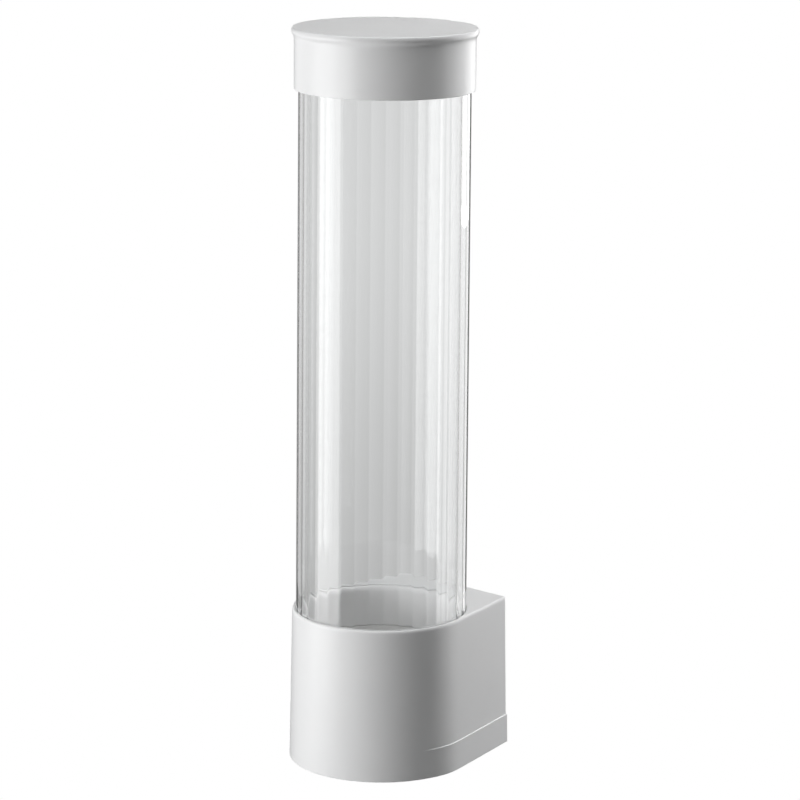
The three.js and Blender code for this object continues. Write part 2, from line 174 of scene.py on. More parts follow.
CEILING_Z = TOP - DECK_THICKNESS
SEAT_FLOOR_Z = SEAT_Z - SEAT_THICKNESS
GROOVE = 0.3
GROOVE_OPENING = 0.6
GROOVE_CLOSED_SHARE = 0.02
WIDEST_BEARING = 1.3
LEAST_SINE = 0.3

# Inside of the housing: dovetail pocket and its block, stiffeners, bosses and ledges for the bottom cover
PLATE_HALF = 18
PLATE_FLARE_SHARE = 2 / 3.6
PLATE_BACK = 61.5
POCKET_FLOOR = 57.6
POCKET_TOP_Z = 66.3
BLOCK_HALF = 22.3
BLOCK_FRONT = 55.6
BLOCK_TOP_Z = 69
STIFFENER_SIDE = 24
STIFFENER_HALF = 0.7
STIFFENER_DEPTH = 34
STIFFENER_FRONT = 38
STIFFENER_SINK = 2
STIFFENER_EDGE = 0.15
BOSS_SIDE = 28.5
BOSS_BACK = 50
BOSS_RADIUS = 3.6
BOSS_HOLE_RADIUS = 1.35
BOSS_HOLE_TOP = 12.3
BOSS_EDGE = 0.3
BOSS_HOLE_EDGE = 0.2
BOSS_INNER_EDGE = 0.1
BOSS_STEPS = 48
LEDGE_INNER = 45.2
LEDGE_OUTER = 47.3
LEDGE_FOOT = 0.8
LEDGE_TOP = 1.9
LEDGE_EDGE = 0.15
LEDGE_BEARING = math.radians(24)
LEDGE_HALF = math.radians(10)
LEDGE_STEPS = 16

# Grid of the housing: counts of steps, shares of the way along a side, and levels over the underside
FRONT_STEPS = 220
SIDE_STEPS = 40
CORNER_STEPS = 10
ROUND_STEPS = 240
NEAR = 0.015
SIDE_SHARES = [*np.linspace(0, 1, SIDE_STEPS + 1)[1:-1], 1 - NEAR / 2]
TENTHS = (0.1, 0.2, 0.3, 0.4, 0.5, 0.6, 0.7, 0.8, 0.9)
PLAIN_SHARES = [NEAR, *TENTHS, 1 - NEAR, 1]
FLANK_SHARES = [0.04, 0.5, 0.96, 1]
FLOOR_SHARES = [NEAR, *TENTHS, 1]
BAND_LEVELS = (0.8, 5, 10, BAND_HEIGHT - 0.6)
POCKET_LEVELS = (BAND_HEIGHT + 0.6, 30, 45, 60, POCKET_TOP_Z - 0.3, POCKET_TOP_Z)
WALL_LEVELS = (POCKET_TOP_Z + 0.05, POCKET_TOP_Z + 0.4, 72, 77, TOP - DECK_EDGE_DEPTH - 0.4)
INNER_LEVELS = (50, 30, 15, 0.6, 0.2)
PLAIN_FLANK = 0.6

# Ledge over the band: share of the way in from the band to the wall, and rise over the band's height
BAND_LEDGE = ((0, -0.2), (0.05, -0.09), (0.2, -0.02), (0.4, 0), (0.85, 0.005), (0.97, 0.03), (1, 0.12))

# Cup guide
FLOOR_Z = guide_low[2]
MOUTH_RADIUS = BORE_RADIUS - 0.1
GUIDE_NARROWING = 0.9
GUIDE_WALL = 1.5
GUIDE_FLANGE = 2
GUIDE_EDGE = 0.3
GUIDE_JOIN_EDGE = 0.05
GUIDE_FILLET = 0.5
GUIDE_MOUTH_EDGE = 0.4
WINDOW = math.radians(34)
WINDOW_HEIGHT = 15
LEGS = 4
LEG_STEPS = 48

# Fingers, along their own radius
FINGERS = 4
FOOT_OUTER = 44.3
FOOT_INNER = 40.3
FOOT_TOP = FLOOR_Z + 4.4
FOOT_EDGE = 0.15
FOOT_CORNER = 0.25
FOOT_TOP_CORNER = 0.3
RISER_INNER = 42.6
RISER_TOP = FLOOR_Z + 11.4
RISER_FILLET = 1.1
FINGER_HALF = 6
HINGE_RADIUS = 41.5
HINGE_Z = FLOOR_Z + 10.1
BLADE_LENGTH = 7.2
BLADE_HALF = 0.65
BLADE_EDGE = 0.22
BLADE_SLOPE = math.radians(8)
BLADE_ROOT_CORNER = 0.4
BLADE_WAIST_CORNER = 1.5
BEAD_RADIUS = 0.8
BEAD_EDGE = 0.2
BEAD_STEPS = 32
TIP_HALF = 4.7
TIP_CORNER = 0.6
TIP_HOLLOW = 0.32
TIP_HOLLOW_SPOTS = (3, 1.5, 0, -1.5, -3)

# Screws: pan head with a cross recess, and a threaded shank
COVER_SCREW_LENGTH = 10
FINGER_SCREW_LENGTH = 5.6
SCREW_STEPS = 96
HEAD_TOP = 1.9
HEAD_HEIGHT = 1.3
HEAD_RADIUS = 2.2
HEAD_DOME = 0.5
HEAD_DOME_POWER = 3.5
SHANK_RADIUS = 1.15
CROSS_HALF = 0.34
CROSS_REACH = 1.36
CROSS_DEPTH = 0.8
CROSS_WALL = 0.16
THREAD_PITCH = 0.8
THREAD_DEPTH = 0.2
THREAD_POWER = 0.8
THREAD_START = 0.3
THREAD_END = 0.9
THREAD_STEPS = 60
FACE_START = 0.05
FACE_EDGE = 0.15
FACE_STEPS = 26

# Outline of the screw, as offsets from the head's rim, from the foot of the shank and from its end
HEAD_RIM = ((-0.03, -0.62), (0, -0.5), (0, -0.1), (-0.05, 0))
NECK = ((0.1, 0), (-0.12, 0.1))
SHANK_END = (-0.3, -0.6)
SHANK_POINT = 0.1

# Foam pad
PAD_CORNER = 3
PAD_CORNER_STEPS = 8
PAD_EDGE = 0.12

# Plates in the solids' own shape: the angle up to which faces join, and that from which an edge is rounded
PLATE_WELD = 0.001
PLATE_FLAT = math.radians(1)
PLATE_EDGE = 0.25
PLATE_EDGE_STEPS = 3
PLATE_EDGE_FROM = math.radians(40)

# Camera of the photograph, found from the outlines of the object
CAMERA_BEARING = math.radians(42.021)
CAMERA_RISE = math.radians(12.719)
CAMERA_ROLL = math.radians(0.5)
CAMERA_DISTANCE = 1748.96
CAMERA_AIM_RIGHT = 9.045
CAMERA_AIM_HEIGHT = 193.398
CAMERA_LENS = 150.87
SENSOR = 36
TOWARDS_CAMERA = np.array([math.sin(CAMERA_BEARING), -math.cos(CAMERA_BEARING), 0])
CAMERA_RIGHT = np.array([math.cos(CAMERA_BEARING), math.sin(CAMERA_BEARING), 0])

# World: its strengths, what they gain in one direction, and where along it each gain starts and ends
WORLD_LIGHT = 0.03
WORLD_GLOSS = 0.03
WORLD_GLOSS_GAIN = 0.05
WORLD_FACING = (-0.2, 0.5)
WORLD_THROUGH = 0.47
WORLD_HEIGHT_GAIN = 0.155
WORLD_HEIGHT = (-0.28, -0.16)
WORLD_RIGHT_GAIN = 0.2
WORLD_RIGHT = (-0.2, 0.2)

# Floor, in metres, with its least share of glow and the shares of its radius between which that rises
FLOOR_RADIUS = 0.75
FLOOR_DROP = 0.6
FLOOR_STEPS = 96
FLOOR_GLOW_SHARE = 0.6
FLOOR_FADE_SHARES = (0.4, 0.97)

# Lamps: the rays that each kind reaches, and the height in metres that all of them face
LIGHT = ("visible_diffuse",)
GLOSS_CARD = ("visible_glossy",)
CARD = (*GLOSS_CARD, "visible_transmission")
MIRRORED_LIGHT = (*LIGHT, *CARD)
LAMP_AIM_HEIGHT = 0.15

# Each lamp's name, its bearing from the camera's side in degrees, to the right positive, how far out and how
# high its middle stands from where it faces and its width and height, in metres, its radiance, and its kind
LAMPS = (
    ("key_box", -78.3, 0.9, -0.13, 0.645, 0.55, 2.3, MIRRORED_LIGHT),
    ("right_card", 86, 0.9, -0.13, 0.26, 0.55, 1.35, CARD),
    ("ridge_card", 104, 0.9, -0.13, 0.2, 0.55, 1.5, CARD),
    ("ceiling_card", 0, 0.05, 1.0, 1.1, 1.1, 2.5, GLOSS_CARD),
    ("rim_upper_card", 138, 0.9, 0.12, 0.5, 0.36, 2.4, GLOSS_CARD),
    ("rim_lower_card", 138, 0.9, -0.2, 0.5, 0.32, 1.35, GLOSS_CARD),
    ("rim_left_card", -140, 0.9, -0.04, 0.5, 0.62, 0.62, GLOSS_CARD),
    ("top_back_box", 140, 0.4, 1.0, 0.8, 0.4, 1.2, LIGHT),
    ("top_middle_box", 100, 0.5, 0.9, 0.7, 0.5, 7.1, LIGHT),
    ("top_left_box", -60, 0.9, 0.6, 0.6, 0.3, 4.8, LIGHT),
    ("fill_left_box", -57, 0.9, 0.02, 0.6, 0.3, 7.9, LIGHT),
    ("back_low_box", 150, 0.7, -0.02, 0.8, 0.25, 0.9, LIGHT),
    ("side_back_box", 121, 0.7, 0, 0.3, 0.4, 7.6, LIGHT),
)


def rounded(corners, steps=6, closed=True):
    """Outline through (a, b, radius) corners, each turned into an arc tangent to its two sides.

    With u and v the unit directions from a corner to its neighbours and h half the angle between them, the
    arc starts at radius / tan(h) along u and its centre lies at radius / sin(h) along the bisector. One more
    point stands out along each side by the support, or by its share of a short side, so that the side keeps
    its flat shading. A corner of radius zero stays a point.
    """
    spots = np.array([corner[:2] for corner in corners], float)
    count = len(spots)
    run = []
    for i, (_, _, radius) in enumerate(corners):
        here = spots[i]
        if radius == 0 or (not closed and i in (0, count - 1)):
            run.append(here[None])
            continue
        u, v = spots[i - 1] - here, spots[(i + 1) % count] - here
        u_length, v_length = np.linalg.norm(u), np.linalg.norm(v)
        u, v = u / u_length, v / v_length
        half = math.acos(np.clip(u @ v, -1, 1)) / 2
        start = radius / math.tan(half)
        centre = here + (u + v) / np.linalg.norm(u + v) * radius / math.sin(half)
        swing = math.pi - 2 * half
        share = np.linspace(0, 1, steps + 1)[:, None]
        first, last = here + u * start - centre, here + v * start - centre
        bend = (np.sin((1 - share) * swing) * first + np.sin(share * swing) * last) / math.sin(swing)
        before = start + min(SUPPORT, (u_length - start) * SUPPORT_SHARE)
        after = start + min(SUPPORT, (v_length - start) * SUPPORT_SHARE)
        run += [(here + u * before)[None], centre + bend, (here + v * after)[None]]
    return np.concatenate(run)


def quarter_round(across, along, steps):
    """Pairs of across (1 - cos t) and along (1 - sin t), for t from zero to a quarter turn."""
    turn = np.linspace(0, math.pi / 2, steps)
    return [(across * (1 - math.cos(t)), along * (1 - math.sin(t))) for t in turn]


def turned_rings(profile, angles):
    """A (radius, height) profile turned round Z: a point goes to (radius cos t, radius sin t, height)."""
    radius, height = profile[:, :1], profile[:, 1:]
    return np.stack([radius * np.cos(angles), radius * np.sin(angles), height + 0 * angles], -1)


def even_angles(steps):
    return np.linspace(0, TURN, steps, endpoint=False)


def grid_faces(rows, columns, closed_rows):
    """Four-sided faces of a grid whose columns close on themselves, and whose rows do where asked."""
    row = np.arange(rows if closed_rows else rows - 1)[:, None]
    column = np.arange(columns)[None]
    beside = (column + 1) % columns
    above = (row + 1) % rows
    corners = [(row, column), (row, beside), (above, beside), (above, column)]
    return np.stack([along * columns + across for along, across in corners], -1).reshape(-1, 4)


def outward(points, faces):
    """The shape with its faces pointing out: they are turned over where its volume comes out negative.

    The volume is the sum over the faces' triangles of the triple product of their corners, over six.
    """
    volume = 0
    for face in faces:
        for i in range(1, face.shape[1] - 1):
            a, b, c = points[face[:, 0]], points[face[:, i]], points[face[:, i + 1]]
            volume += np.einsum("ij,ij->", a, np.cross(b, c))
    return points, faces if volume > 0 else [face[:, ::-1] for face in faces]


def ring_shape(rings):
    """Closed shape of rings that close on themselves both ways, as a torus does."""
    rows, columns = rings.shape[:2]
    return outward(rings.reshape(-1, 3), [grid_faces(rows, columns, True)])


def capped_shape(rings):
    """Closed shape of stacked rings, with a fan from a middle point over the first and the last."""
    rows, columns = rings.shape[:2]
    middles = np.stack([rings[0].mean(0), rings[-1].mean(0)])
    points = np.concatenate([rings.reshape(-1, 3), middles])
    column = np.arange(columns)
    beside = (column + 1) % columns
    first = np.stack([beside, column, 0 * column + rows * columns], -1)
    above = (rows - 1) * columns
    last = np.stack([above + column, above + beside, 0 * column + rows * columns + 1], -1)
    return outward(points, [grid_faces(rows, columns, False), np.concatenate([first, last])])


def revolved(profile, steps=ROUND_STEPS):
    """Solid of a closed profile, or of one that starts and ends on the axis, turned round Z."""
    angles = even_angles(steps)
    if profile[0, 0] == 0:
        return pole_shape(turned_rings(profile, angles))
    return ring_shape(turned_rings(profile, angles))


def pole_shape(rings):
    """Closed shape of rings whose first and last are single points on the axis."""
    points, faces = capped_shape(rings[1:-1])
    points[-2], points[-1] = rings[0, 0], rings[-1, 0]
    return points, faces


def moved(shape, shift):
    points, faces = shape
    return points + np.array(shift), faces


def spun(shape, angle):
    """The shape turned round the tube's axis."""
    points, faces = shape
    cos, sin = math.cos(angle), math.sin(angle)
    turn = np.array([[cos, -sin, 0], [sin, cos, 0], [0, 0, 1]])
    return points @ turn.T, faces


def prism(outline, low, high, edge):
    """An (x, y) outline raised from low to high, with its rims rounded by a quarter circle.

    Rings of the rounding are drawn in along the outline's own normals. Further rings two edges up a side and
    three edges in on a face keep both flat.
    """
    ahead, behind = np.roll(outline, -1, 0), np.roll(outline, 1, 0)
    along = ahead - behind
    along /= np.linalg.norm(along, axis=1)[:, None]
    area = np.sum(outline[:, 0] * ahead[:, 1] - ahead[:, 0] * outline[:, 1])
    inward = np.stack([-along[:, 1], along[:, 0]], 1) * np.sign(area)

    def level(drawn, height):
        return np.column_stack([outline + inward * drawn, np.full(len(outline), height)])

    rims = [(drawn, low + rise) for drawn, rise in quarter_round(edge, edge, EDGE_STEPS)[::-1]]
    rims.append((0, low + 2 * edge))
    rims += [(drawn, low + high - height) for drawn, height in rims[::-1]]
    rings = [level(drawn, height) for drawn, height in rims]
    return capped_shape(np.stack([level(3 * edge, low), *rings, level(3 * edge, high)]))


def block(low, high, edge):
    """A box between two corners with rounded edges."""
    corners = [(low[0], low[1]), (high[0], low[1]), (high[0], high[1]), (low[0], high[1])]
    outline = rounded([(x, y, edge) for x, y in corners], steps=3)
    return prism(outline, low[2], high[2], edge)


def sector(profile, middle, half, steps):
    """A closed (radius, height) profile turned by half to both sides of the middle, and capped."""
    angles = np.linspace(middle - half, middle + half, steps)
    return capped_shape(turned_rings(profile, angles).transpose(1, 0, 2))


def stands_for(made, node, material):
    """The object takes its node's place: it rides on the node's body and hides the node."""
    scene.collection.objects.link(made)
    made.data.materials.clear()
    made.data.materials.append(material)
    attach(made, frame["nodes"][node]["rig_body"])
    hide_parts(node)


def piece(name, node, shapes, material):
    """One object of several closed shapes, shaded smooth but for its sharp edges, in place of a node."""
    points, faces, first = [], [], 0
    for shape_points, shape_faces in shapes:
        points.append(placed(shape_points))
        for face in shape_faces:
            faces += (face + first).tolist()
        first += len(shape_points)
    mesh = bpy.data.meshes.new(name)
    mesh.from_pydata(np.concatenate(points).tolist(), [], faces)
    mesh.shade_smooth()
    mesh.set_sharp_from_angle(angle=SHARP)
    stands_for(bpy.data.objects.new(name, mesh), node, material)


def softened(name, node, material):
    """A copy of a node with its flat faces joined and its edges rounded by a bevel."""
    mesh = frame["nodes"][node].data.copy()
    joined = bmesh.new()
    joined.from_mesh(mesh)
    bmesh.ops.remove_doubles(joined, verts=joined.verts, dist=PLATE_WELD * MM)
    bmesh.ops.dissolve_limit(joined, angle_limit=PLATE_FLAT, verts=joined.verts, edges=joined.edges)
    joined.to_mesh(mesh)
    joined.free()
    mesh.shade_smooth()
    made = bpy.data.objects.new(name, mesh)
    bevel = made.modifiers.new("rounded edges", "BEVEL")
    bevel.width = PLATE_EDGE * MM
    bevel.segments = PLATE_EDGE_STEPS
    bevel.limit_method = "ANGLE"
    bevel.angle_limit = PLATE_EDGE_FROM
    weighted = made.modifiers.new("flat faces", "WEIGHTED_NORMAL")
    weighted.keep_sharp = True
    stands_for(made, node, material)


def rim_profile(top):
    """Outside of the lid's rim, from its top edge down, as (radius, height) points.

    The bead is an arc from the crown angle above its widest point to the fall angle below it. A hollow arc
    meets it there and turns back through the fall angle, to leave in line with the skirt.
    """
    hollow = RIM_REACH / (1 - math.cos(RIM_FALL)) - RIM_ROUND
    bead_z = top - RIM_ROUND * math.sin(RIM_CROWN)
    hollow_z = bead_z - (RIM_ROUND + hollow) * math.sin(RIM_FALL)
    swing = np.linspace(RIM_CROWN, -RIM_FALL, RIM_BEAD_STEPS)
    turn = np.linspace(RIM_FALL, 0, RIM_HOLLOW_STEPS)[1:]
    bead = [RIM_RADIUS - RIM_ROUND * (1 - np.cos(swing)), bead_z + RIM_ROUND * np.sin(swing)]
    sweep = [SKIRT_RADIUS + hollow * (1 - np.cos(turn)), hollow_z + hollow * np.sin(turn)]
    return np.concatenate([np.stack(bead, 1), np.stack(sweep, 1)])


def build_lid(material):
    """Cap: flat top, a beaded rim that runs into a straight skirt, a ring inside the tube, and grip ribs."""
    top, foot = lid_high[2], lid_low[2]
    underside = top - LID_THICKNESS
    inner = SKIRT_RADIUS - SKIRT_WALL
    rim = rim_profile(top)
    corners = [
        (0, top, 0),
        (*rim[0], RIM_TOP_EDGE),
        *[(*spot, 0) for spot in rim[1:]],
        (SKIRT_RADIUS, foot, SKIRT_EDGE),
        (inner, foot, LID_INNER_EDGE),
        (inner, underside, LID_INNER_EDGE),
        (RING_RADIUS, underside, LID_INNER_EDGE),
        (RING_RADIUS, underside - RING_DEPTH, LID_INNER_EDGE),
        (RING_RADIUS - RING_WALL, underside - RING_DEPTH, LID_INNER_EDGE),
        (RING_RADIUS - RING_WALL, underside, LID_INNER_EDGE),
        (0, underside, 0),
    ]
    shapes = [revolved(rounded(corners, closed=False))]
    rib = block(
        (inner - GRIP_RIB_STAND, -GRIP_RIB_WIDTH / 2, underside - GRIP_RIB_HEIGHT),
        (inner + SKIRT_WALL / 2, GRIP_RIB_WIDTH / 2, underside + LID_THICKNESS / 2),
        GRIP_RIB_EDGE,
    )
    shapes += [spun(rib, TURN * i / GRIP_RIBS) for i in range(GRIP_RIBS)]
    piece("lid_moulding", "lid", shapes, material)


def flute_outline(apothem):
    """One turn of equal flats at a distance from the axis, with their corners rounded.

    The centre of a corner's arc stands at (apothem - corner radius) / cos(half pitch) on the corner's
    bearing, and the arc swings by half a pitch to either side. Points near a flat's ends keep it flat.
    """
    half = math.pi / FLUTES
    reach = (apothem - FLUTE_CORNER) / math.cos(half)
    swing = np.linspace(-half, half, FLUTE_CORNER_STEPS + 1)
    arc = np.stack([reach + FLUTE_CORNER * np.cos(swing), FLUTE_CORNER * np.sin(swing)], 1)
    end = arc[-1]
    cos, sin = math.cos(2 * half), math.sin(2 * half)
    next_start = arc[0] @ np.array([[cos, sin], [-sin, cos]])
    near = FLUTE_SUPPORT / np.linalg.norm(next_start - end)
    shares = np.array([near, *FLAT_SHARES, 1 - near])[:, None]
    flute = np.concatenate([arc, end + (next_start - end) * shares])
    bearings = FLUTE_TURN + half + 2 * half * np.arange(FLUTES)
    turns = np.array([[np.cos(bearings), np.sin(bearings)], [-np.sin(bearings), np.cos(bearings)]])
    return np.einsum("pk,kjf->fpj", flute, turns).reshape(-1, 2)


def build_tube(material):
    """Clear tube: a cone outside, a cone of flats inside, joined by rounded rims at both ends.

    The radius changes evenly from foot to top, and the flats stand a wall's thickness inside it.
    """
    foot, top = tube_low[2], tube_high[2]
    count = len(flute_outline(TUBE_FOOT_RADIUS))
    first = FLUTE_TURN + math.pi / FLUTES
    bearings = first + TURN * (np.arange(count) - FLUTE_CORNER_STEPS / 2) / count

    def ring(height, inset, inside):
        radius = TUBE_FOOT_RADIUS + (TUBE_TOP_RADIUS - TUBE_FOOT_RADIUS) * (height - foot) / (top - foot)
        if inside:
            flat = flute_outline(radius - TUBE_WALL + inset)
        else:
            flat = (radius - inset) * np.stack([np.cos(bearings), np.sin(bearings)], 1)
        return np.column_stack([flat, np.full(count, height)])

    rim = quarter_round(TUBE_EDGE, TUBE_EDGE, TUBE_EDGE_STEPS)
    levels = [(foot + rise, inset) for inset, rise in rim[::-1]]
    levels += [(height, 0) for height in np.linspace(foot + 2 * TUBE_EDGE, top - 2 * TUBE_EDGE, TUBE_RINGS)]
    levels += [(top - drop, inset) for inset, drop in rim]
    rings = [ring(*level, False) for level in levels] + [ring(*level, True) for level in levels[::-1]]
    piece("fluted_tube", "cup_tube", [ring_shape(np.stack(rings))], material)


def run_between(start, end, shares):
    """Points at shares of the way from start to end."""
    start, end = np.array(start, float), np.array(end, float)
    return start + (end - start) * np.array(shares)[:, None]


def plan(radius, back, centre=0, edge=PLATE_HALF, floor_half=None, floor=None):
    """The housing's outline: round front, straight tapering sides, and a back with rounded corners.

    The front is an arc that reaches past each side by the taper angle. A side leaves it along its tangent
    and meets the corner arc, whose centre lies a corner radius inside both lines. The back steps from the
    edge to a floor and across, or runs straight where no floor is given, with the flank's points along a
    plain stretch of it. The last half is the first mirrored.
    """
    bearings = np.linspace(-math.pi - TAPER, TAPER, FRONT_STEPS + 1)
    front = np.stack([radius * np.cos(bearings), centre + radius * np.sin(bearings)], 1)
    corner_y = back - BACK_CORNER
    corner_x = (radius - BACK_CORNER - (corner_y - centre) * math.sin(TAPER)) / math.cos(TAPER)
    swing = np.linspace(TAPER, math.pi / 2, CORNER_STEPS + 1)
    corner = np.stack([corner_x + BACK_CORNER * np.cos(swing), corner_y + BACK_CORNER * np.sin(swing)], 1)
    side = run_between(front[-1], corner[0], SIDE_SHARES)
    floor = back if floor is None else floor
    floor_half = edge - PLAIN_FLANK if floor_half is None else floor_half
    plain = run_between(corner[-1], (edge, back), PLAIN_SHARES)
    flank = run_between((edge, back), (floor_half, floor), FLANK_SHARES)
    across = run_between((floor_half, floor), (0, floor), FLOOR_SHARES)
    right = np.concatenate([side, corner, plain, flank, across])
    left = right[-2::-1] * np.array([-1, 1])
    return np.concatenate([front, right, left])


# Bearings that go with the outline's points: the front's own, and an even spread over the sides and the back
COUNT = len(plan(FRONT_RADIUS, BACK))
BACK_BEARINGS = np.linspace(TAPER, math.pi - TAPER, COUNT - FRONT_STEPS + 1)[1:-1]
BEARINGS = np.concatenate([np.linspace(-math.pi - TAPER, TAPER, FRONT_STEPS + 1), BACK_BEARINGS])


def wall_ring(height, offset=0, centre=0, pocket=False, block_side=False):
    """One ring of the housing's wall, drafted inwards as it rises and moved out by an offset."""
    drawn = DRAFT * height / TOP
    radius, back = FRONT_RADIUS + offset - drawn, BACK + offset - drawn
    if pocket:
        half = PLATE_HALF + SEAT_GAP
        edge = half + (PLATE_BACK - back) * PLATE_FLARE_SHARE
        wide = half + (PLATE_BACK - POCKET_FLOOR) * PLATE_FLARE_SHARE
        outline = plan(radius, back, centre, edge, wide, POCKET_FLOOR)
    elif block_side:
        outline = plan(radius, back, centre, BLOCK_HALF, BLOCK_HALF, BLOCK_FRONT)
    else:
        outline = plan(radius, back, centre, BLOCK_HALF if offset <= -SIDE_WALL else PLATE_HALF)
    return np.column_stack([outline, np.full(COUNT, height)])


def band_ring(height, share=0, inset=0):
    """One ring of the low band, which runs out at the front, or a share of the way from it to the wall.

    The band stands out by a smooth step of the bearing from the front: nothing up to its start, then
    3 t squared less 2 t cubed of the full step, and all of it along the sides and the back.
    """
    wall, proud = wall_ring(height, -inset, pocket=True), wall_ring(height, BAND_STEP - inset, pocket=True)
    t = np.ones(COUNT)
    from_front = np.abs(BEARINGS[:FRONT_STEPS + 1] + math.pi / 2)
    t[:FRONT_STEPS + 1] = np.clip((from_front - BAND_START) / (BAND_FULL - BAND_START), 0, 1)
    return wall + (proud - wall) * ((3 * t**2 - 2 * t**3) * (1 - share))[:, None]


def outer_wall():
    """Rings up the outside: bottom edge, band, the ledge over the band, the wall and the deck's edge.

    The bottom edge is a quarter circle, and the deck's edge a quarter ellipse that is deeper than wide.
    """
    bottom = quarter_round(BOTTOM_EDGE, BOTTOM_EDGE, EDGE_STEPS)
    rings = [band_ring(rise, inset=inset) for rise, inset in bottom]
    rings += [band_ring(height) for height in BAND_LEVELS]
    rings += [band_ring(BAND_HEIGHT + rise, share) for share, rise in BAND_LEDGE]
    rings += [wall_ring(height, pocket=True) for height in POCKET_LEVELS]
    rings += [wall_ring(height) for height in WALL_LEVELS]
    deck = quarter_round(DECK_EDGE, DECK_EDGE_DEPTH, DECK_EDGE_STEPS)
    rings += [wall_ring(TOP - drop, -inset) for inset, drop in deck]
    rings.append(wall_ring(TOP, -DECK_EDGE - DECK_SUPPORT))
    return rings


def socket_rings():
    """Rings from the deck down the socket, across the seat, over the collar and down its bore.

    The collar's mouth is a quarter ellipse.
    """
    collar_top = TOP - SEAT_GAP
    lip = quarter_round(COLLAR_LIP_DEPTH, COLLAR_LIP_REACH, COLLAR_LIP_STEPS)
    corners = [
        (SOCKET_RADIUS + SOCKET_LIP + SUPPORT, TOP, 0),
        (SOCKET_RADIUS, TOP, SOCKET_LIP),
        (SOCKET_RADIUS, SEAT_Z, SEAT_EDGE),
        (COLLAR_RADIUS, SEAT_Z, SEAT_EDGE),
        (COLLAR_RADIUS, collar_top, SEAT_EDGE),
        *[(BORE_RADIUS + reach, collar_top - drop, 0) for drop, reach in lip],
        (BORE_RADIUS, SEAT_FLOOR_Z, BORE_EDGE),
        (BORE_RADIUS + BORE_FOOT_REACH, SEAT_FLOOR_Z, 0),
    ]
    profile = rounded(corners, steps=4, closed=False)
    return list(turned_rings(profile[1:], BEARINGS))


def inner_wall():
    """Rings under the deck: out to the socket's wall, up it, across the ceiling and down the inner wall.

    The hollow between socket and wall is as deep as the ceiling where the two stand apart, and closes to a
    thin groove at the front, where they are one. The widest bearing and the least sine keep the distances
    to the planes of the sides and the back from growing without end.
    """
    draft = DRAFT * CEILING_Z / TOP
    radius, back = FRONT_RADIUS - SIDE_WALL - draft, BACK - SIDE_WALL - draft
    past = np.maximum(0, np.minimum(BEARINGS, math.pi - BEARINGS) - TAPER)
    straight = radius / np.cos(np.minimum(past, WIDEST_BEARING))
    reach = np.minimum(straight, back / np.maximum(np.sin(BEARINGS), LEAST_SINE))
    socket = np.minimum(SOCKET_RADIUS + SOCKET_WALL, reach - GROOVE)
    opened = np.clip((reach - socket - GROOVE) / GROOVE_OPENING, 0, 1)
    deep = GROOVE_CLOSED_SHARE + (1 - GROOVE_CLOSED_SHARE) * opened
    ceiling = SEAT_FLOOR_Z + (CEILING_Z - SEAT_FLOOR_Z) * deep
    around = np.stack([np.cos(BEARINGS), np.sin(BEARINGS)], 1)

    def socket_ring(height, inset=0):
        return np.column_stack([around * (socket - inset)[:, None], height + 0 * socket])

    levels = [SEAT_FLOOR_Z, SEAT_FLOOR_Z + SEAT_EDGE, ceiling - SEAT_EDGE, ceiling]
    rings = [socket_ring(SEAT_FLOOR_Z, SUPPORT), *[socket_ring(level) for level in levels]]
    above_block = BLOCK_TOP_Z + SEAT_EDGE / 2
    steps = [(CEILING_Z, 0, False), (above_block, SEAT_EDGE, False), (BLOCK_TOP_Z, 2 * SEAT_EDGE, True)]
    for height, lower, blocked in steps:
        ring = wall_ring(height, -SIDE_WALL, block_side=blocked)
        ring[:, 2] = np.minimum(height, ceiling - lower)
        rings.append(ring)
    rings += [wall_ring(height, -SIDE_WALL, block_side=True) for height in INNER_LEVELS]
    rings.append(wall_ring(0, -SIDE_WALL + INNER_LEVELS[-1], block_side=True))
    return rings


def screw_boss():
    """Boss of a cover screw, with its blind hole, from the cover up into the deck."""
    foot, top = FLOOR_Z, CEILING_Z + DECK_THICKNESS / 2
    corners = [
        (0, BOSS_HOLE_TOP, 0),
        (BOSS_HOLE_RADIUS, BOSS_HOLE_TOP, BOSS_INNER_EDGE),
        (BOSS_HOLE_RADIUS, foot, BOSS_HOLE_EDGE),
        (BOSS_RADIUS, foot, BOSS_EDGE),
        (BOSS_RADIUS, top, BOSS_INNER_EDGE),
        (0, top, 0),
    ]
    return revolved(rounded(corners, closed=False), BOSS_STEPS)


def build_housing(material):
    """Base moulding: one closed skin from its outside over the deck, down the socket and back inside.

    Stiffeners, bosses and the ledges that hold the bottom cover are closed shapes of their own.
    """
    shapes = [ring_shape(np.stack(outer_wall() + socket_rings() + inner_wall()))]
    boss = screw_boss()
    for side in (-1, 1):
        middle = side * STIFFENER_SIDE
        low = (middle - STIFFENER_HALF, STIFFENER_FRONT, CEILING_Z - STIFFENER_DEPTH)
        high = (middle + STIFFENER_HALF, BLOCK_FRONT + STIFFENER_SINK, CEILING_Z + DECK_THICKNESS / 2)
        shapes.append(block(low, high, STIFFENER_EDGE))
        shapes.append(moved(boss, (side * BOSS_SIDE, BOSS_BACK, 0)))
    inner, outer = LEDGE_INNER, LEDGE_OUTER
    corners = [(inner, LEDGE_FOOT), (outer, LEDGE_FOOT), (outer, LEDGE_TOP), (inner, LEDGE_TOP)]
    ledge = rounded([(*corner, LEDGE_EDGE) for corner in corners], steps=3)
    for side in (-1, 1):
        shapes.append(sector(ledge, -math.pi / 2 + side * LEDGE_BEARING, LEDGE_HALF, LEDGE_STEPS))
    piece("housing_moulding", "housing", shapes, material)


